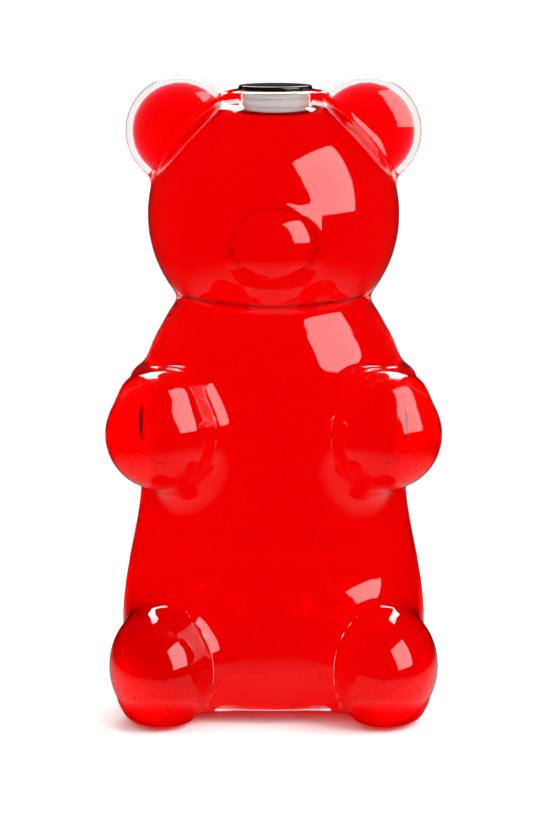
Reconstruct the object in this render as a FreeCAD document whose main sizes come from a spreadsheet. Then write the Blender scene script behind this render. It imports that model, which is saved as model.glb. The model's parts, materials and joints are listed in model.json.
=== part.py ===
"""A hollow glass bottle in the shape of a seated bear, closed by a black-capped stopper in its crown.

Frame: millimetres, +Z up, the bear faces -Y, and the origin is on the standing plane in the middle of the footprint.
Every size is a cell of the Dimensions sheet. The glass is an outer form less a cavity form. Both are made of the
same bulbs fused together, and the cavity's bulbs are smaller by the thickness of the glass.
"""

import FreeCAD
import Part
import Sketcher
import os
import re

# alias: (value in mm, or in degrees where said, and what it is)
DIMENSIONS = {
    # glass
    "wall": (3.0, "glass thickness of the sides"),
    "floor_wall": (7.0, "standing plane to the inside of the floor"),
    "crown_wall": (7.0, "glass gathered at the top of the head, for the mouth's bore"),
    # torso: half-width and half-depth of each oval section, and its height over the section under it
    "base_half_width": (43.5, "torso at the standing plane"),
    "base_half_depth": (34.5, "torso at the standing plane"),
    "turn_half_width": (48.7, "torso where its side starts to turn under"),
    "turn_half_depth": (39.2, "torso where its side starts to turn under"),
    "turn_rise": (8.0, "that section over the floor of its form"),
    "hip_half_width": (53.0, "torso at its widest"),
    "hip_half_depth": (40.0, "torso at its deepest"),
    "hip_rise": (32.0, "widest section over the standing plane"),
    "waist_half_width": (46.5, "torso under the arms"),
    "waist_half_depth": (38.0, "torso under the arms"),
    "waist_rise": (42.0, "section under the arms over the widest one"),
    "chest_half_width": (45.0, "torso between the arms"),
    "chest_half_depth": (36.0, "torso between the arms"),
    "chest_rise": (38.0, "section between the arms over the one under them"),
    "shoulder_half_width": (39.6, "torso at the shoulders"),
    "shoulder_half_depth": (33.0, "torso at the shoulders"),
    "shoulder_rise": (20.0, "shoulder section over the one between the arms"),
    "neck_half_width": (28.4, "torso where it ends inside the head"),
    "neck_half_depth": (25.0, "torso where it ends inside the head"),
    "neck_rise": (16.0, "end of the torso over the shoulder section"),
    # head and snout
    "head_half_width": (43.5, "radius of the head"),
    "head_rise": (24.0, "head's centre over the end of the torso"),
    "snout_half_width": (15.9, "snout, side to side"),
    "snout_half_height": (13.8, "snout, up and down"),
    "snout_half_depth": (11.0, "snout, front to back"),
    "snout_drop": (6.6, "snout's centre below the head's centre"),
    "snout_sink": (3.5, "snout's centre inside the front of the head"),
    # ears
    "ear_half_width": (19.2, "ear, side to side and up and down"),
    "ear_half_depth": (9.0, "ear, front to back"),
    "ear_spread": (32.1, "ear's centre from the axis"),
    "ear_rise": (28.8, "ear's centre over the head's centre"),
    # arms
    "arm_half_width": (15.0, "upper arm, across and through"),
    "arm_half_length": (27.0, "upper arm, along"),
    "arm_spread": (37.0, "upper arm's centre from the axis"),
    "arm_forward": (13.0, "upper arm's centre in front of the axis"),
    "arm_drop": (27.0, "upper arm's centre below the shoulder section"),
    "arm_dip": (16.0, "slope of the upper arm down to the paw, degrees"),
    "paw_half_width": (19.4, "radius of the paw"),
    "paw_splay": (1.2, "paw's centre outside the upper arm's"),
    "paw_reach": (21.0, "paw's centre in front of the upper arm's"),
    "paw_drop": (4.8, "paw's centre below the upper arm's"),
    # feet
    "foot_half_width": (18.6, "foot, side to side"),
    "foot_half_length": (28.0, "foot, front to back"),
    "foot_half_height": (21.0, "foot, up and down"),
    "foot_spread": (38.2, "foot's centre from the axis"),
    "foot_forward": (30.0, "foot's centre in front of the axis"),
    "foot_sole": (1.5, "how much of the foot's bulb is lost in its flat sole"),
    # hollow under the body
    "arch_half_width": (30.0, "arch under the body, side to side"),
    "arch_half_depth": (44.0, "arch under the body, front to back"),
    "arch_rise": (4.5, "arch under the body, up"),
    "arch_forward": (14.0, "arch's centre in front of the axis"),
    # mouth
    "mouth_offset": (0.6, "mouth's axis to the side of the head's"),
    "mouth_half_width": (11.7, "radius of the mouth's bore"),
    "rim_wall": (4.7, "width of the rim, from the bore outwards"),
    "rim_drop": (0.5, "rim below the top of the head's sphere"),
    "rim_round": (1.5, "rounding of the rim's outer edge"),
    "lip_flare": (4.1, "how far the foot of the lip stands out beyond the rim"),
    "lip_depth": (6.5, "foot of the lip below the rim"),
    # stopper
    "cap_overhang": (1.0, "cap's edge beyond the bore"),
    "cap_thickness": (1.5, "thickness of the cap"),
    "cap_round": (0.8, "rounding of the cap's top edge"),
    "spigot_half_width": (6.0, "radius of the plug's spigot in the cap's socket"),
    "spigot_length": (0.8, "length of the spigot"),
    "plug_clearance": (0.6, "gap between the plug's lands and the bore"),
    "plug_wall": (2.2, "wall and roof of the hollow plug"),
    "groove_width": (1.8, "each groove of the plug and its seal ring, along the axis"),
    "groove_depth": (1.2, "depth of the grooves"),
    "ring_clearance": (0.05, "gap between a seal ring and the bore"),
    "ring_round": (0.5, "rounding of a seal ring's outer edges"),
    # forms that cut
    "cut_margin": (5.0, "how far a cutting form runs past what it cuts"),
}

TORSO_SECTIONS = ("base", "turn", "hip", "waist", "chest", "shoulder", "neck")
SIDES = {"left": 1, "right": -1}
SEAL_RINGS = ("upper", "lower")
SAME_HEIGHT = 1e-6
DRAWN_HALF_SIZES = (2.0, 1.0)


def stacked(section):
    """Height of a torso section over the standing plane: the rises of the sections up to it, added."""
    counted = TORSO_SECTIONS[TORSO_SECTIONS.index("hip"):TORSO_SECTIONS.index(section) + 1]
    return "(" + " + ".join(f"{name}_rise" for name in counted) + ")"


# The upright axis of torso and head stands behind the origin by this much, since the feet reach forward.
AXIS_BACK = "(foot_forward + foot_half_length - head_half_width) / 2"
HEAD_HEIGHT = f"({stacked('neck')} + head_rise)"
ARM_HEIGHT = f"({stacked('shoulder')} - arm_drop)"
RIM_HEIGHT = f"({HEAD_HEIGHT} + head_half_width - rim_drop)"
RIM_RADIUS = "(mouth_half_width + rim_wall)"
# The grooves share out the bore's length, which is the glass gathered at the crown.
LAND = "((crown_wall - 2 * groove_width) / 2)"
PITCH = f"({LAND} + groove_width)"
PLUG_LENGTH = f"(2 * {PITCH} + {LAND})"
PLUG_RADIUS = "(mouth_half_width - plug_clearance)"
CORE_RADIUS = f"({PLUG_RADIUS} - groove_depth)"


def make_sheet(doc):
    sheet = doc.addObject("Spreadsheet::Sheet", "Dimensions")
    for row, (name, (value, meaning)) in enumerate(DIMENSIONS.items(), start=1):
        sheet.set(f"A{row}", meaning)
        sheet.set(f"B{row}", str(value))
        sheet.setAlias(f"B{row}", name)
    doc.recompute()


def bind(thing, sizes):
    """Binds each property path to an expression in which the dimensions stand as plain names."""
    for path, expression in sizes.items():
        cells = re.sub(r"[a-z_]+", r"Dimensions.\g<0>", str(expression))
        thing.setExpression(path, cells)


def place(thing, x=0, y=0, z=0, base="Placement.Base"):
    """Puts a thing at x and y from the upright axis, and at a height."""
    bind(thing, {f"{base}.x": x, f"{base}.y": f"{AXIS_BACK} + {y}", f"{base}.z": z})


def attach(feature, body, x=0, z=0):
    plane = next(f for f in body.Origin.OriginFeatures if f.Role == "XY_Plane")
    feature.AttachmentSupport = [(plane, "")]
    feature.MapMode = "FlatFace"
    place(feature, x=x, z=z, base="AttachmentOffset.Base")


# The forms the glass is made of


def oval_section(body, name, half_width, half_depth, height):
    """A level sketch of one oval. It is drawn at any size, and its two axes are then bound as named constraints."""
    sketch = body.newObject("Sketcher::SketchObject", name)
    attach(sketch, body, z=height)
    oval = sketch.addGeometry(Part.Ellipse(FreeCAD.Vector(), *DRAWN_HALF_SIZES))
    sketch.exposeInternalGeometry(oval)
    long_axis, short_axis = oval + 1, oval + 2
    origin, axis_x = (-1, 1), -1
    sketch.addConstraint(Sketcher.Constraint("Coincident", oval, 3, *origin))
    sketch.addConstraint(Sketcher.Constraint("PointOnObject", long_axis, 1, axis_x))
    for axis, label, half in ((long_axis, "width", half_width), (short_axis, "depth", half_depth)):
        length = sketch.addConstraint(Sketcher.Constraint("Distance", axis, sum(DRAWN_HALF_SIZES)))
        sketch.renameConstraint(length, label)
        bind(sketch, {f"Constraints.{label}": f"2 * ({half})"})
    return sketch


def torso(doc, form, thinner, floor):
    """A loft through the oval sections, from the floor up to inside the head."""
    body = doc.addObject("PartDesign::Body", f"{form}_torso")
    over_floor = {"base": floor, "turn": f"{floor} + turn_rise"}
    sketches = []
    for name in TORSO_SECTIONS:
        height = over_floor.get(name) or stacked(name)
        half_width = f"{name}_half_width - {thinner}"
        half_depth = f"{name}_half_depth - {thinner}"
        sketches.append(oval_section(body, f"{form}_{name}", half_width, half_depth, height))
    loft = body.newObject("PartDesign::AdditiveLoft", f"{form}_loft")
    loft.Profile = sketches[0]
    loft.Sections = [(sketch, [""]) for sketch in sketches[1:]]
    return body


def closed_edge_name(shape, height):
    """The widest closed edge that lies level at this height."""
    level = {}
    for number, edge in enumerate(shape.Edges, start=1):
        ends = edge.BoundBox.ZMin, edge.BoundBox.ZMax
        if all(abs(end - height) < SAME_HEIGHT for end in ends):
            level[f"Edge{number}"] = edge.Length
    return max(level, key=level.get)


def ball(doc, name, radius):
    form = doc.addObject("Part::Sphere", name)
    bind(form, {"Radius": radius})
    return form


def ellipsoid(doc, name, across, along, up):
    """Half-sizes along X, Y and Z."""
    form = doc.addObject("Part::Ellipsoid", name)
    bind(form, {"Radius1": up, "Radius2": across, "Radius3": along})
    return form


def head_bulbs(doc, form, thinner, crown):
    head = ellipsoid(doc, f"{form}_head", f"head_half_width - {thinner}",
                     f"head_half_width - {thinner}", f"head_half_width - {crown}")
    place(head, z=HEAD_HEIGHT)
    snout = ellipsoid(doc, f"{form}_snout", f"snout_half_width - {thinner}",
                      f"snout_half_depth - {thinner}", f"snout_half_height - {thinner}")
    place(snout, y="snout_sink - head_half_width", z=f"{HEAD_HEIGHT} - snout_drop")
    return [head, snout]


def side_bulbs(doc, form, side, sign, thinner):
    """Ear, upper arm, paw and foot of one side."""
    ear = ellipsoid(doc, f"{form}_{side}_ear", f"ear_half_width - {thinner}",
                    f"ear_half_depth - {thinner}", f"ear_half_width - {thinner}")
    place(ear, x=f"{sign} * ear_spread", z=f"{HEAD_HEIGHT} + ear_rise")
    arm = ellipsoid(doc, f"{form}_{side}_arm", f"arm_half_width - {thinner}",
                    f"arm_half_length - {thinner}", f"arm_half_width - {thinner}")
    arm.Placement.Rotation = FreeCAD.Rotation(FreeCAD.Vector(1, 0, 0), 1)
    bind(arm, {"Placement.Rotation.Angle": "arm_dip"})
    place(arm, x=f"{sign} * arm_spread", y="-arm_forward", z=ARM_HEIGHT)
    paw = ball(doc, f"{form}_{side}_paw", f"paw_half_width - {thinner}")
    place(paw, x=f"{sign} * (arm_spread + paw_splay)", y="-(arm_forward + paw_reach)", z=f"{ARM_HEIGHT} - paw_drop")
    foot = ellipsoid(doc, f"{form}_{side}_foot", f"foot_half_width - {thinner}",
                     f"foot_half_length - {thinner}", f"foot_half_height - {thinner}")
    place(foot, x=f"{sign} * foot_spread", y="-foot_forward", z="foot_half_height - foot_sole")
    return [ear, arm, paw, foot]


def fused(doc, name, forms):
    whole = doc.addObject("Part::MultiFuse", name)
    whole.Shapes = forms
    return whole


def cut(doc, name, base, tool):
    rest = doc.addObject("Part::Cut", name)
    rest.Base = base
    rest.Tool = tool
    return rest


def bear_form(doc, form, thinner, crown, floor):
    """The bulbs of one form in one piece. `thinner` and `crown` come off their sides and the top of the head."""
    forms = [torso(doc, form, thinner, floor), *head_bulbs(doc, form, thinner, crown)]
    for side, sign in SIDES.items():
        forms += side_bulbs(doc, form, side, sign, thinner)
    return fused(doc, f"{form}_bulbs", forms)


def lip(doc):
    """The gathered lip that carries the rim, with the rim's outer edge rounded."""
    body = doc.addObject("PartDesign::Body", "lip")
    cone = body.newObject("PartDesign::AdditiveCone", "lip_cone")
    attach(cone, body, x="mouth_offset", z=f"{RIM_HEIGHT} - lip_depth")
    bind(cone, {"Radius1": f"{RIM_RADIUS} + lip_flare", "Radius2": RIM_RADIUS, "Height": "lip_depth"})
    doc.recompute()
    rounding = body.newObject("PartDesign::Fillet", "rim_rounding")
    rounding.Base = (cone, [closed_edge_name(cone.Shape, cone.Shape.BoundBox.ZMax)])
    bind(rounding, {"Radius": "rim_round"})
    return body


def slab(doc, name, top, thickness):
    """A wide box with its top at a height, for cutting away everything under a plane."""
    reach = "(hip_half_width + foot_forward + foot_half_length)"
    box = doc.addObject("Part::Box", name)
    bind(box, {"Length": f"2 * {reach}", "Width": f"2 * {reach}", "Height": thickness})
    place(box, x=f"-{reach}", y=f"-{reach}", z=f"{top} - {thickness}")
    return box


def mouth_bore(doc):
    bore = doc.addObject("Part::Cylinder", "mouth_bore")
    bind(bore, {"Radius": "mouth_half_width", "Height": f"{RIM_HEIGHT} - {HEAD_HEIGHT} + cut_margin"})
    place(bore, x="mouth_offset", z=HEAD_HEIGHT)
    return bore


def bear_shell(doc):
    """The glass: outer form and lip, less what is under the standing plane, the arch, the cavity and the bore."""
    outer = bear_form(doc, "outer", "0", "0", "0")
    arch = ellipsoid(doc, "arch", "arch_half_width", "arch_half_depth", "arch_rise")
    place(arch, y="-arch_forward")
    ground = slab(doc, "ground", "0", "foot_half_height")
    cavity = bear_form(doc, "cavity", "wall", "crown_wall", "floor_wall")
    floor = slab(doc, "cavity_floor", "floor_wall", "foot_half_height")
    inside = cut(doc, "inside", cavity, floor)
    glass = fused(doc, "outer_lipped", [outer, lip(doc)])
    for name, tool in (("on_ground", ground), ("arched", arch), ("hollowed", inside)):
        glass = cut(doc, f"outer_{name}", glass, tool)
    return cut(doc, "bear_shell", glass, mouth_bore(doc))


# The stopper


def disc(body, name, radius, thickness, height, kind="Additive"):
    """A cylinder on the mouth's axis, standing on a height."""
    form = body.newObject(f"PartDesign::{kind}Cylinder", name)
    attach(form, body, x="mouth_offset", z=height)
    bind(form, {"Radius": radius, "Height": thickness})
    return form


def round_edges(doc, body, name, radius, heights):
    doc.recompute()
    blank = body.Tip
    rounding = body.newObject("PartDesign::Fillet", name)
    rounding.Base = (blank, [closed_edge_name(blank.Shape, height) for height in heights(blank.Shape.BoundBox)])
    bind(rounding, {"Radius": radius})


def stopper_cap(doc):
    """The disc on the rim, with a blind socket underneath for the plug's spigot."""
    body = doc.addObject("PartDesign::Body", "stopper_cap")
    disc(body, "cap_blank", "mouth_half_width + cap_overhang", "cap_thickness", RIM_HEIGHT)
    round_edges(doc, body, "cap_rounding", "cap_round", lambda box: [box.ZMax])
    disc(body, "cap_socket", "spigot_half_width", "spigot_length", RIM_HEIGHT, kind="Subtractive")
    return body


def stopper_plug(doc):
    """A hollow core open downwards, with three lands that leave two grooves between them, and a spigot on top."""
    body = doc.addObject("PartDesign::Body", "stopper_plug")
    foot = f"{RIM_HEIGHT} - {PLUG_LENGTH}"
    disc(body, "plug_core", CORE_RADIUS, PLUG_LENGTH, foot)
    for number in range(len(SEAL_RINGS) + 1):
        disc(body, f"plug_land_{number}", PLUG_RADIUS, LAND, f"{foot} + {number} * {PITCH}")
    disc(body, "plug_spigot", "spigot_half_width", "spigot_length", RIM_HEIGHT)
    disc(body, "plug_hollow", f"{CORE_RADIUS} - plug_wall", f"{PLUG_LENGTH} - plug_wall", foot, kind="Subtractive")
    return body


def seal_ring(doc, name, order):
    """A ring that fills its groove and stands out of it almost to the bore."""
    body = doc.addObject("PartDesign::Body", f"{name}_seal_ring")
    foot = f"{RIM_HEIGHT} - {order + 1} * {PITCH}"
    disc(body, f"{name}_ring_blank", "mouth_half_width - ring_clearance", "groove_width", foot)
    round_edges(doc, body, f"{name}_ring_rounding", "ring_round", lambda box: [box.ZMin, box.ZMax])
    disc(body, f"{name}_ring_hole", CORE_RADIUS, "groove_width", foot, kind="Subtractive")
    return body


def write(doc, nodes):
    for item in doc.Objects:
        if "Invalid" in item.State or "Error" in item.State:
            raise RuntimeError(f"{item.Label} failed to build: {item.State}")
    os.makedirs("parts", exist_ok=True)
    for node in nodes:
        shape = node.Shape
        if shape.isNull() or not shape.isValid() or len(shape.Solids) != 1:
            raise RuntimeError(f"{node.Label} is not one valid solid")
        shape.exportStep(f"parts/{node.Label}.step")
        print(f"{node.Label}: {shape.Volume / 1000:.2f} cm3")


def main():
    doc = FreeCAD.newDocument("bear_bottle")
    make_sheet(doc)
    nodes = [bear_shell(doc), stopper_cap(doc), stopper_plug(doc)]
    nodes += [seal_ring(doc, name, order) for order, name in enumerate(SEAL_RINGS)]
    doc.recompute()
    write(doc, nodes)


main()
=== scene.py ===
# %% [markdown]
# # A clear glass bear, filled with red and closed by a black cap
#
# The object is a hollow glass figure with rounded webs between its limbs. Its wall is colourless. All
# the red comes from what fills it, so light that has crossed the body is red and light that stays in
# the wall is white or grey. Blender therefore needs two surfaces: the outer skin of the glass, and the
# red filling inside it.
#
# The lesson goes: frame, forms, finishes, studio, camera. The frame is the measured model, in metres.
# Everything that is made here takes its place and size from it.

# %% Load the frame
import json
import math

import bpy
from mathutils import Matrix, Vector

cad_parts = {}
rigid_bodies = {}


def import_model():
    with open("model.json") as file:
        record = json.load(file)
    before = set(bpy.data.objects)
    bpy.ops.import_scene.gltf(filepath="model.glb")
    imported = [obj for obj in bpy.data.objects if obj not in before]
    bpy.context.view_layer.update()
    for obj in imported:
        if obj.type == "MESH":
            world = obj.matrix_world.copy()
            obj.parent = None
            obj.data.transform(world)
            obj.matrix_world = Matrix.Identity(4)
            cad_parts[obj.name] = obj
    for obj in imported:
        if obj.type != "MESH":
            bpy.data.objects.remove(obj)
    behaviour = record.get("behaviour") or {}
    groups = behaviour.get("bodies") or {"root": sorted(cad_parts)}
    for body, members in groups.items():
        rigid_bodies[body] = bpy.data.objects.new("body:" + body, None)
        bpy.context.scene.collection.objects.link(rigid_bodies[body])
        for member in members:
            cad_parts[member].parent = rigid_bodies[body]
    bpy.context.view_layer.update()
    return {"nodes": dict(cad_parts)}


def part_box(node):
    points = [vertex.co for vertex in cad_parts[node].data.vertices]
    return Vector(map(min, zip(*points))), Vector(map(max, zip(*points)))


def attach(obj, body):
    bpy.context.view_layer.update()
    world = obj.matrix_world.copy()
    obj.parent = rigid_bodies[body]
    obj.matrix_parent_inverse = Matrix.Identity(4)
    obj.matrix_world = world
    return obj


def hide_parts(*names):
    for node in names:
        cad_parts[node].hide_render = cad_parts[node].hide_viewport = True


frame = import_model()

# %% [markdown]
# ## Sizes
#
# Bounding boxes of the frame's pieces give the heights and the mouth's axis. The seal rings almost
# touch the bore, so their radius plus their small gap is the radius of the bore.

# %% Sizes that the frame gives
MM = 0.001
RING_GAP = 0.05 * MM

HALF_WIDE, _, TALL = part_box("bear_shell")[1]
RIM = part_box("stopper_cap")[0].z
PLUG_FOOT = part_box("stopper_plug")[0].z
RING_LOW, RING_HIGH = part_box("upper_seal_ring")
MOUTH = (RING_LOW + RING_HIGH) / 2
BORE = (RING_HIGH.x - RING_LOW.x) / 2 + RING_GAP
print(f"glass {TALL / MM:.1f} mm tall, rim at {RIM / MM:.1f} mm, bore {2 * BORE / MM:.1f} mm wide")

# %% [markdown]
# ## Tools of the bench
#
# Operators act on whatever is selected. One helper picks pieces, one adds a modifier, sets it and
# applies it, and one says what a piece has become.


# %% Pick pieces, finish one with a modifier, measure it
def pick(*pieces):
    """Object mode, only these pieces selected, the first one active."""
    if bpy.context.mode != "OBJECT":
        bpy.ops.object.mode_set(mode="OBJECT")
    bpy.ops.object.select_all(action="DESELECT")
    for piece in pieces:
        piece.select_set(True)
    bpy.context.view_layer.objects.active = pieces[0]


def finish_with(piece, kind, **settings):
    """Adds a modifier of that kind with its settings, and applies it."""
    pick(piece)
    modifier = piece.modifiers.new(kind.lower(), kind)
    for name, value in settings.items():
        setattr(modifier, name, value)
    bpy.ops.object.modifier_apply(modifier=modifier.name)


def measure(piece):
    sides = [round(side / MM, 1) for side in piece.dimensions]
    print(f"{piece.name}: {len(piece.data.polygons)} faces, {sides} mm")


# %% [markdown]
# ## Two walls out of one shell
#
# The frame's glass is one shell: the outer skin and the wall of the hollow meet only in the bore of the
# mouth. A copy of it has its loose triangles merged, and then the faces of the bore are deleted. What
# is left falls into two loose parts, and each hole is closed with one face. Modelling both again from
# spheres would work too, but would drift from the measured sizes.

# %% Copy the shell and take out the wall of the bore
MERGE = 0.01 * MM
BORE_BAND = 0.02 * BORE
UPRIGHT = 0.3

pick(frame["nodes"]["bear_shell"])
bpy.ops.object.duplicate()
shell = bpy.context.object
shell.parent = None
for tag in list(shell.keys()):
    del shell[tag]
bpy.ops.object.mode_set(mode="EDIT")
bpy.ops.mesh.select_all(action="SELECT")
bpy.ops.mesh.remove_doubles(threshold=MERGE)
bpy.ops.mesh.select_all(action="DESELECT")
bpy.ops.object.mode_set(mode="OBJECT")
for face in shell.data.polygons:
    out = math.hypot(face.center.x - MOUTH.x, face.center.y - MOUTH.y)
    in_mouth = abs(out - BORE) < BORE_BAND and face.center.z > PLUG_FOOT - BORE
    face.select = in_mouth and abs(face.normal.z) < UPRIGHT
bpy.ops.object.mode_set(mode="EDIT")
bpy.ops.mesh.delete(type="FACE")
bpy.ops.mesh.select_all(action="SELECT")
bpy.ops.mesh.separate(type="LOOSE")
bpy.ops.object.mode_set(mode="OBJECT")
walls = sorted(bpy.context.selected_objects, key=lambda piece: piece.dimensions.length)
print(len(walls), "loose walls")


# %% Close both walls and name them
def close_hole(piece, name):
    """Puts one face over the only open edge loop, and turns all faces outwards."""
    pick(piece)
    piece.name = name
    bpy.ops.object.mode_set(mode="EDIT")
    bpy.ops.mesh.select_all(action="DESELECT")
    bpy.ops.mesh.select_non_manifold()
    bpy.ops.mesh.edge_face_add()
    bpy.ops.mesh.select_all(action="SELECT")
    bpy.ops.mesh.normals_make_consistent(inside=False)
    bpy.ops.object.mode_set(mode="OBJECT")
    measure(piece)
    return piece


skin = close_hole(walls[-1], "bear_glass")
filling = close_hole(walls[-2], "red_filling")

# %% [markdown]
# ## Soft webs between the bulbs
#
# Molten glass can't fill a sharp inner corner of its mould, and it flows a little when it is fire
# polished. So the outside of a glass figure has wide webs where an arm or a foot leaves the body. The
# same thing as rolling a ball round the form is done in three moves: swell the form by the ball's
# radius, remesh it so that the corners close, then shrink it back by the same amount. Bulges come back
# as they were, and corners keep the ball's radius. A bevel on the crease would need clean edge loops,
# which merged bulbs don't have.
#
# The webs are wide round arms and feet, and narrow at the neck, the snout and the ears. A vertex group
# scales the work of each modifier from point to point, so one function per form says how much of it is
# wanted where.


# %% Modifiers that work by share
def ramp(value, start, end):
    """0 up to the start, 1 from the end on, and even between them."""
    return min(max((value - start) / (end - start), 0), 1)


def finish_by_share(piece, kind, share, **settings):
    """A modifier that does the share of its work that a function gives for each point."""
    group = piece.vertex_groups.new(name="share")
    for point in piece.data.vertices:
        group.add([point.index], share(point.co), "REPLACE")
    finish_with(piece, kind, vertex_group=group.name, **settings)
    piece.vertex_groups.clear()


# %% Roll a ball round the outside
GRAIN = 1.1 * MM
WIDE_WEB = 8 * MM
NARROW_SHARE = 0.12
WEB_TOP = 0.53 * TALL
WEB_FADE = 0.07 * TALL
SKIN_PASSES = 60
HALF_WAY = 0.5


def remesh(piece):
    finish_with(piece, "REMESH", mode="VOXEL", voxel_size=GRAIN)


def web_share(at):
    """The full ball on the body, and only a share of it on head and ears."""
    return 1 - ramp(at.z, WEB_TOP, WEB_TOP + WEB_FADE) * (1 - NARROW_SHARE)


def swell(piece, distance):
    """Moves every point along its normal."""
    finish_by_share(piece, "DISPLACE", web_share, strength=distance, mid_level=0)


remesh(skin)
swell(skin, WIDE_WEB)
remesh(skin)
swell(skin, -WIDE_WEB)
remesh(skin)
finish_by_share(skin, "SMOOTH", web_share, factor=HALF_WAY, iterations=SKIN_PASSES)
measure(skin)

# %% [markdown]
# ## The mouth
#
# The stopper stands in a round bore. A cutter is drawn as a circle, extruded upwards, and opened out at
# the rim for the small round that keeps a mould's edge from chipping. A Boolean takes it out of the
# skin.

# %% Cut the bore
BORE_FLOOR = PLUG_FOOT - 0.2 * MM
RIM_EDGE = 0.4 * MM
CUTTER_SIDES = 96


def bore_out(piece, radius, floor):
    """Takes a round hole on the mouth's axis out of a piece, with a small round at the rim."""
    pick(piece)
    place = (MOUTH.x, MOUTH.y, floor)
    bpy.ops.mesh.primitive_circle_add(
        vertices=CUTTER_SIDES, radius=radius, fill_type="NGON", location=place
    )
    cutter = bpy.context.object
    bpy.ops.object.transform_apply(location=True, rotation=True, scale=True)
    bpy.ops.object.mode_set(mode="EDIT")
    bpy.ops.mesh.select_all(action="SELECT")
    for rise, spread in ((RIM - RIM_EDGE - floor, 0), (RIM_EDGE, RIM_EDGE), (RIM_EDGE, RIM_EDGE)):
        bpy.ops.mesh.extrude_region_move(TRANSFORM_OT_translate={"value": (0, 0, rise)})
        wider = (radius + spread) / radius
        bpy.ops.transform.resize(value=(wider, wider, 1), center_override=(MOUTH.x, MOUTH.y, RIM))
    bpy.ops.mesh.select_all(action="SELECT")
    bpy.ops.mesh.normals_make_consistent(inside=False)
    bpy.ops.object.mode_set(mode="OBJECT")
    finish_with(piece, "BOOLEAN", operation="DIFFERENCE", object=cutter, solver="EXACT")
    bpy.data.objects.remove(cutter)
    measure(piece)


bore_out(skin, BORE, BORE_FLOOR)

# %% [markdown]
# ## The red filling
#
# The filling takes the shape of the hollow. Its corners stay crisper than the outside's, so it is only
# smoothed a little. Then it is swelled, mostly on the body, because real glass magnifies what it holds.
# For the same reason its floor is drawn down: to just over the arch under the body, and inside the feet
# to just over the table. The bore's cutter, wider and deeper, keeps the red clear of the mouth, so that
# the stopper stands in the clear glass that is gathered there.

# %% Shape the filling
FILLING_PASSES = 5
MAGNIFIED = 1.6 * MM
ARCH_TOP = 5.3 * MM
SOLE = 1.2 * MM
FLOOR_FADE = 0.15 * TALL
FOOT_INSIDE = 0.3 * HALF_WIDE
FOOT_MIDDLE = 0.5 * HALF_WIDE
GATHER = 2.5 * MM
CLEAR = 0.5 * MM


def draw_down(piece, drop, share):
    """Moves points straight down, each by its share of the drop."""
    finish_by_share(piece, "DISPLACE", share, direction="Z", strength=drop, mid_level=0)


def under_body(at):
    return 1 - ramp(at.z, hollow_floor, FLOOR_FADE)


def in_foot(at):
    return (1 - ramp(at.z, ARCH_TOP, FLOOR_FADE)) * ramp(abs(at.x), FOOT_INSIDE, FOOT_MIDDLE)


remesh(filling)
finish_with(filling, "SMOOTH", factor=HALF_WAY, iterations=FILLING_PASSES)
swell(filling, MAGNIFIED)
hollow_floor = min(point.co.z for point in filling.data.vertices)
draw_down(filling, ARCH_TOP - hollow_floor, under_body)
draw_down(filling, SOLE - ARCH_TOP, in_foot)
bore_out(filling, BORE + GATHER, BORE_FLOOR - CLEAR)

# %% [markdown]
# ## Onto the frame
#
# Both pieces ride on the glass body, and the skin stands for the frame's shell. Shading is smooth
# everywhere but at the rim and the floor of the bore, where faces meet at more than the sharp angle.

# %% Shade both smoothly and hang them on the frame
SHARP = math.radians(40)
for piece in (skin, filling):
    pick(piece)
    bpy.ops.object.shade_smooth_by_angle(angle=SHARP)
    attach(piece, "glass")
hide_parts("bear_shell")
print("on the glass body:", skin.name, filling.name)

# %% [markdown]
# ## Finishes
#
# Colours are written as they look on a screen and turned into linear light by one function. One
# function adds a node: its keywords are settings of the node, and its inputs are numbers, colours or
# other nodes' outputs.

# %% Colour and node helpers
BYTE = 255
PURE_WHITE = "#FFFFFF"


def linear(code):
    """A hex colour as linear red, green, blue and alpha."""
    parts = [int(code[at:at + 2], 16) / BYTE for at in (1, 3, 5)]
    return [p / 12.92 if p <= 0.04045 else ((p + 0.055) / 1.055) ** 2.4 for p in parts] + [1]


def add(tree, kind, inputs=None, **settings):
    """A node of that kind in a tree, with its settings, and each input set or linked."""
    made = tree.nodes.new(kind)
    for name, value in settings.items():
        setattr(made, name, value)
    for name, value in (inputs or {}).items():
        if isinstance(value, bpy.types.NodeSocket):
            tree.links.new(value, made.inputs[name])
        else:
            made.inputs[name].default_value = value
    return made


def new_material(name):
    """An empty material with its node tree."""
    material = bpy.data.materials.new(name)
    material.use_nodes = True
    material.node_tree.nodes.clear()
    return material, material.node_tree


def per_metre(pitch_mm):
    """A noise texture's scale for bumps about that far apart."""
    return 1 / (pitch_mm * MM)


def dress(piece, material):
    piece.data.materials.clear()
    piece.data.materials.append(material)
    print(f"{piece.name} wears {material.name}")


# %% [markdown]
# ### Painted dark edges
#
# A clear wall seen edge-on sends the eye to the dark side of the room, and draws a thin grey line round
# the form. This room is white all round, so that line is painted in as shade: where the surface is seen
# from the side, the colour of what passes through is painted dark. Layer Weight gives that angle. Only
# the outer face takes the painted shade, not the inner one that light meets on its way out.


# %% A tint for edges
def painted_edge_shade(tree, normal, edge, start):
    """White, which turns to a painted dark shade where the surface is seen from the side."""
    facing = add(tree, "ShaderNodeLayerWeight", {"Blend": 0.5, "Normal": normal}).outputs["Facing"]
    inside = add(tree, "ShaderNodeNewGeometry").outputs["Backfacing"]
    side = add(tree, "ShaderNodeMath", {0: facing, 1: inside}, operation="SUBTRACT").outputs["Value"]
    near = add(tree, "ShaderNodeMapRange", {"Value": side, "From Min": start}).outputs["Result"]
    colours = {"Factor": near, "A": linear(PURE_WHITE), "B": linear(edge)}
    return add(tree, "ShaderNodeMix", colours, data_type="RGBA").outputs["Result"]


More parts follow.
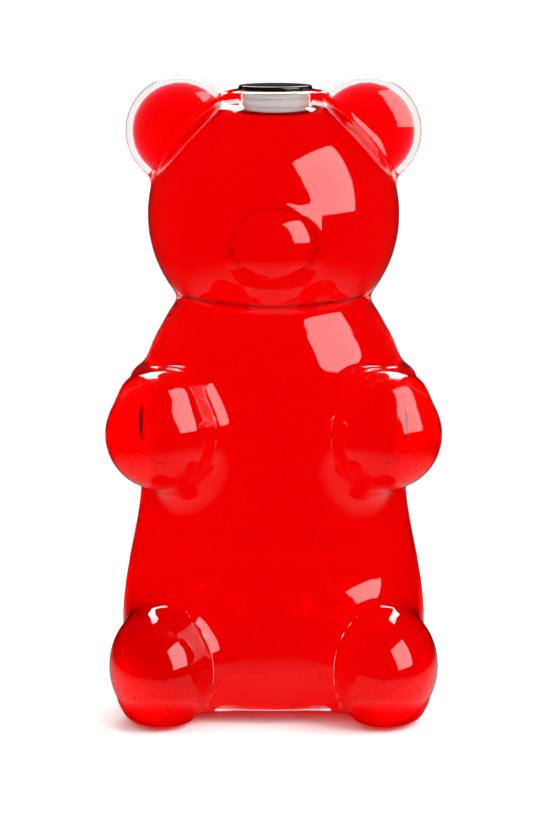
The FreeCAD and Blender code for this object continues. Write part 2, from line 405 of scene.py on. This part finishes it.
# %% [markdown]
# ### Blown soda-lime glass, fire polished
#
# Bottle glass has no colour at this thickness. It was blown into a mould and fire polished, so it is
# glossy but not flat: slow waves about a finger's width apart bend reflections, and a fine orange peel
# breaks them into grains. Both are bumps of less than a tenth of a millimetre, and the polish varies a
# little with the waves.
#
# Real bottle glass has an index of 1.5. With that index in the body, each limb shows a broken image of
# the others. So the body of the material bends light only a little, and a clear coat of index 1.5 gives
# the reflections.

# %% Clear glass
WAVE_PITCH = 14
WAVE_DEPTH = 0.06 * MM
PEEL_PITCH = 1.6
PEEL_DEPTH = 0.006 * MM
ROUGHEST_POLISH = 0.03
GLASS_EDGE_SHADE = "#3A3537"
GLASS_EDGE_START = 0.86

glass, tree = new_material("blown_soda_lime_glass")
place = add(tree, "ShaderNodeTexCoord").outputs["Object"]
waves = add(tree, "ShaderNodeTexNoise", {"Vector": place, "Scale": per_metre(WAVE_PITCH), "Detail": 1})
peel = add(tree, "ShaderNodeTexNoise", {"Vector": place, "Scale": per_metre(PEEL_PITCH), "Detail": 2})
slow = add(tree, "ShaderNodeBump", {"Height": waves.outputs["Fac"], "Distance": WAVE_DEPTH, "Strength": 1})
over = slow.outputs["Normal"]
fine = {"Height": peel.outputs["Fac"], "Normal": over, "Distance": PEEL_DEPTH, "Strength": 1}
fine = add(tree, "ShaderNodeBump", fine)
polish = {"Value": waves.outputs["Fac"], "To Min": 0, "To Max": ROUGHEST_POLISH}
polish = add(tree, "ShaderNodeMapRange", polish)
# Base colour: white, with a painted dark shade where the skin is seen from the side.
surface = add(
    tree,
    "ShaderNodeBsdfPrincipled",
    {
        "Base Color": painted_edge_shade(tree, fine.outputs["Normal"], GLASS_EDGE_SHADE, GLASS_EDGE_START),
        "Roughness": polish.outputs["Result"],
        "IOR": 1.1,
        "Transmission Weight": 1,
        "Normal": fine.outputs["Normal"],
        "Coat Weight": 1,
        "Coat Roughness": 0.02,
        "Coat IOR": 1.5,
        "Coat Normal": fine.outputs["Normal"],
    },
)
add(tree, "ShaderNodeOutputMaterial", {"Surface": surface.outputs["BSDF"]})
dress(skin, glass)

# %% [markdown]
# ### Dyed clear filling
#
# The dye takes out green and blue within a few millimetres and lets red through almost whole. So the
# body is one even red wherever light comes through it, and only thin places such as the rims of the
# ears turn pink. That is a volume that absorbs, not a painted surface.
#
# Two painted shades on its surface draw the form: a painted dark edge, as on the glass, and a painted
# shade along the creases between the bulbs, where the real wall is thick and folds the light away.
# Pointiness finds the creases: it is under a half wherever the mesh is hollow.

# %% Red filling
RIPPLE_PITCH = 9
RIPPLE_DEPTH = 0.06 * MM
RED_EDGE_SHADE = "#2A0A0E"
RED_EDGE_START = 0.82
CREASE_SHADE = "#4A0E14"
DEEP_CREASE = 0.462
NO_CREASE = 0.492
LET_THROUGH = (0.9977, 0.0, 0.1, 1)
DYE_PER_METRE = 700

red, tree = new_material("dyed_clear_filling")
place = add(tree, "ShaderNodeTexCoord").outputs["Object"]
ripple = add(tree, "ShaderNodeTexNoise", {"Vector": place, "Scale": per_metre(RIPPLE_PITCH), "Detail": 1})
bump = add(tree, "ShaderNodeBump", {"Height": ripple.outputs["Fac"], "Distance": RIPPLE_DEPTH, "Strength": 1})
# Painted shade: the filling's base colour turns dark where it is seen from the side.
edge_shaded = painted_edge_shade(tree, bump.outputs["Normal"], RED_EDGE_SHADE, RED_EDGE_START)
# Painted shade: the base colour turns dark along the creases, where Pointiness is low.
pointed = add(tree, "ShaderNodeNewGeometry").outputs["Pointiness"]
open_face = {"Value": pointed, "From Min": DEEP_CREASE, "From Max": NO_CREASE}
open_face = add(tree, "ShaderNodeMapRange", open_face).outputs["Result"]
crease_shaded = {"Factor": open_face, "A": linear(CREASE_SHADE), "B": edge_shaded}
crease_shaded = add(tree, "ShaderNodeMix", crease_shaded, data_type="RGBA").outputs["Result"]
surface = add(
    tree,
    "ShaderNodeBsdfPrincipled",
    {
        "Base Color": crease_shaded,
        "Roughness": 0,
        "IOR": 1.03,
        "Transmission Weight": 1,
        "Normal": bump.outputs["Normal"],
    },
)
dye = add(tree, "ShaderNodeVolumeAbsorption", {"Color": LET_THROUGH, "Density": DYE_PER_METRE})
add(tree, "ShaderNodeOutputMaterial", {"Surface": surface.outputs["BSDF"], "Volume": dye.outputs["Volume"]})
dress(filling, red)

# %% [markdown]
# ### Moulded plastics and silicone
#
# The cap is injection moulded ABS: deep black with a polished face and a trace of flow marks in its
# gloss. The plug is undyed polyethylene, milky and satin, which shows as the pale collar under the cap.
# The seal rings are undyed silicone rubber, which is softer in gloss and has a fine dusty grain.


# %% Plastics and silicone
def moulded(name, dark, light, gloss, spread, pitch_mm, depth_mm, index):
    """An opaque moulded finish: even colour, with gloss and height that vary at one pitch."""
    material, tree = new_material(name)
    place = add(tree, "ShaderNodeTexCoord").outputs["Object"]
    noise = {"Vector": place, "Scale": per_metre(pitch_mm), "Detail": 3}
    marks = add(tree, "ShaderNodeTexNoise", noise).outputs["Fac"]
    sheen = {"Value": marks, "To Min": gloss - spread, "To Max": gloss + spread}
    tone = {"Factor": marks, "A": linear(dark), "B": linear(light)}
    height = {"Height": marks, "Distance": depth_mm * MM, "Strength": 1}
    surface = add(
        tree,
        "ShaderNodeBsdfPrincipled",
        {
            "Base Color": add(tree, "ShaderNodeMix", tone, data_type="RGBA").outputs["Result"],
            "Roughness": add(tree, "ShaderNodeMapRange", sheen).outputs["Result"],
            "IOR": index,
            "Normal": add(tree, "ShaderNodeBump", height).outputs["Normal"],
        },
    )
    add(tree, "ShaderNodeOutputMaterial", {"Surface": surface.outputs["BSDF"]})
    return material


black = moulded(
    "moulded_black_abs",
    "#0C0707", "#140C0C", gloss=0.16, spread=0.05, pitch_mm=2.5, depth_mm=0.01, index=1.53,
)
milky = moulded(
    "moulded_milky_polyethylene",
    "#E9E6E2", "#F1EFEC", gloss=0.38, spread=0.06, pitch_mm=1.8, depth_mm=0.01, index=1.51,
)
rubber = moulded(
    "moulded_milky_silicone",
    "#E2E0DD", "#ECEAE8", gloss=0.5, spread=0.08, pitch_mm=0.6, depth_mm=0.02, index=1.41,
)
for name, material in (
    ("stopper_cap", black),
    ("stopper_plug", milky),
    ("upper_seal_ring", rubber),
    ("lower_seal_ring", rubber),
):
    dress(frame["nodes"][name], material)

# %% [markdown]
# ## The studio
#
# The figure stands on a white table top in front of bright white paper. Most of what one sees in clear
# glass is what stands behind it, so the paper is in every direction and the red filling lets only its
# red through. In mirror reflections the room has to be dark, or a veil of white would lie over the red.
# So table and paper ask Light Path which kind of ray is looking.
#
# The table's colour is painted by ray kind: full white for what is seen straight, a painted shade darker
# for what is seen through the glass, since it would otherwise outshine the paper, and a painted dark in
# reflections, faint and fading out from the middle.

# %% White table top
TABLE = 0.56
FADE_FROM = 0.12 * TABLE
FADE_TO = 0.48 * TABLE
IN_REFLECTIONS = 0.2
THROUGH_GLASS = 0.5
CARD_WHITE = "#F7F7F7"
FIBRE_PITCH = 0.8
FIBRE_DEPTH = 0.01 * MM


def seen_by(tree, *rays):
    """1 for rays of these kinds, and 0 for all others."""
    kinds = add(tree, "ShaderNodeLightPath").outputs
    seen = kinds[rays[0]]
    for ray in rays[1:]:
        seen = add(tree, "ShaderNodeMath", {0: seen, 1: kinds[ray]}, operation="MAXIMUM").outputs["Value"]
    return seen


pick(skin)
bpy.ops.mesh.primitive_plane_add(size=TABLE, location=(0, 0, 0))
table = bpy.context.object
table.name = "table_top"
card, tree = new_material("matt_white_card")
place = add(tree, "ShaderNodeTexCoord").outputs["Object"]
fibre = add(tree, "ShaderNodeTexNoise", {"Vector": place, "Scale": per_metre(FIBRE_PITCH), "Detail": 3})
tooth = add(tree, "ShaderNodeBump", {"Height": fibre.outputs["Fac"], "Distance": FIBRE_DEPTH, "Strength": 1})
out = add(tree, "ShaderNodeVectorMath", {0: place}, operation="LENGTH").outputs["Value"]
fade = {"Value": out, "From Min": FADE_FROM, "From Max": FADE_TO, "To Min": 1, "To Max": 0}
near = add(tree, "ShaderNodeMapRange", fade, interpolation_type="SMOOTHSTEP").outputs["Result"]
seen = {0: near, 1: IN_REFLECTIONS, 2: seen_by(tree, "Is Camera Ray", "Is Diffuse Ray")}
seen = add(tree, "ShaderNodeMath", seen, operation="MULTIPLY_ADD", use_clamp=True).outputs["Value"]
through = {0: seen_by(tree, "Is Transmission Ray"), 1: THROUGH_GLASS}
through = add(tree, "ShaderNodeMath", through, operation="MULTIPLY").outputs["Value"]
lit = add(tree, "ShaderNodeMath", {0: seen, 1: through}, operation="MAXIMUM").outputs["Value"]
# Painted shade: the card's colour is mixed from black by ray kind, darker through the glass and in
# reflections.
tone = {"Factor": lit, "A": linear("#000000"), "B": linear(CARD_WHITE)}
surface = add(
    tree,
    "ShaderNodeBsdfPrincipled",
    {
        "Base Color": add(tree, "ShaderNodeMix", tone, data_type="RGBA").outputs["Result"],
        "Roughness": 0.9,
        "Specular IOR Level": 0.1,
        "Normal": tooth.outputs["Normal"],
    },
)
add(tree, "ShaderNodeOutputMaterial", {"Surface": surface.outputs["BSDF"]})
dress(table, card)

# %% White all round, dark in reflections
PAPER = 1.06
PAPER_THROUGH_GLASS = 1.0

sky = bpy.data.worlds.new("white_paper")
sky.use_nodes = True
sky.node_tree.nodes.clear()
bpy.context.scene.world = sky
tree = sky.node_tree
plain = {0: seen_by(tree, "Is Camera Ray", "Is Diffuse Ray"), 1: PAPER}
plain = add(tree, "ShaderNodeMath", plain, operation="MULTIPLY").outputs["Value"]
glow = {0: seen_by(tree, "Is Transmission Ray"), 1: PAPER_THROUGH_GLASS, 2: plain}
glow = add(tree, "ShaderNodeMath", glow, operation="MULTIPLY_ADD").outputs["Value"]
paper = add(tree, "ShaderNodeBackground", {"Color": linear(PURE_WHITE), "Strength": glow})
add(tree, "ShaderNodeOutputWorld", {"Surface": paper.outputs["Background"]})
print("world:", sky.name)

# %% [markdown]
# Two soft boxes do the rest. A tall one stands at the right and in front, and gives the slanted bright
# panes on head, paws and feet. A strong one hangs behind and above, and whitens the tops of ears, arms
# and feet. Neither shows through the glass, only in its reflections.

# %% Soft boxes
BOX_AWAY = 0.9


def soft_box(name, azimuth, elevation, wide, high, brightness):
    """A rectangular light that faces the figure's middle. Azimuth 0 is in front, 90 at the right."""
    turn, tilt = math.radians(azimuth), math.radians(elevation)
    middle = Vector((0, 0, TALL / 2))
    out = Vector((math.sin(turn) * math.cos(tilt), -math.cos(turn) * math.cos(tilt), math.sin(tilt)))
    lamp = bpy.data.lights.new(name, "AREA")
    lamp.shape = "RECTANGLE"
    lamp.size = wide
    lamp.size_y = high
    lamp.energy = brightness * math.pi * wide * high
    holder = bpy.data.objects.new(name, lamp)
    bpy.context.scene.collection.objects.link(holder)
    holder.location = middle + out * BOX_AWAY
    holder.rotation_euler = (-out).to_track_quat("-Z", "Y").to_euler()
    holder.visible_transmission = False
    print(f"{name}: {lamp.energy:.1f} W")


soft_box("key_box", azimuth=58, elevation=32, wide=0.75, high=0.85, brightness=5.3)
soft_box("back_box", azimuth=180, elevation=45, wide=0.6, high=0.5, brightness=8)

# %% [markdown]
# ## Camera and light paths
#
# A long lens stands a little over the figure's head and looks slightly down. A ray that goes through
# arm, body and filling crosses many surfaces, and may be turned back inside the glass several times, so
# the limits on bounces are raised: with the usual ones such rays end early and the paws and feet go
# black.

# %% Camera
DISTANCE = 1.3
EYE = 0.294
AIM = 0.1047
ASIDE = -0.9 * MM
FOCAL_MM = 250.6
BOUNCES = 48

lens = bpy.data.cameras.new("camera")
lens.sensor_fit = "HORIZONTAL"
lens.lens = FOCAL_MM
camera = bpy.data.objects.new("camera", lens)
bpy.context.scene.collection.objects.link(camera)
camera.location = (ASIDE, MOUTH.y - DISTANCE, EYE)
look = Vector((ASIDE, MOUTH.y, AIM)) - camera.location
camera.rotation_euler = look.to_track_quat("-Z", "Y").to_euler()
bpy.context.scene.camera = camera
bpy.context.scene.view_settings.view_transform = "Standard"
for limit in ("max_bounces", "transmission_bounces", "glossy_bounces"):
    setattr(bpy.context.scene.cycles, limit, BOUNCES)
print(f"camera {DISTANCE} m away, {FOCAL_MM} mm lens")
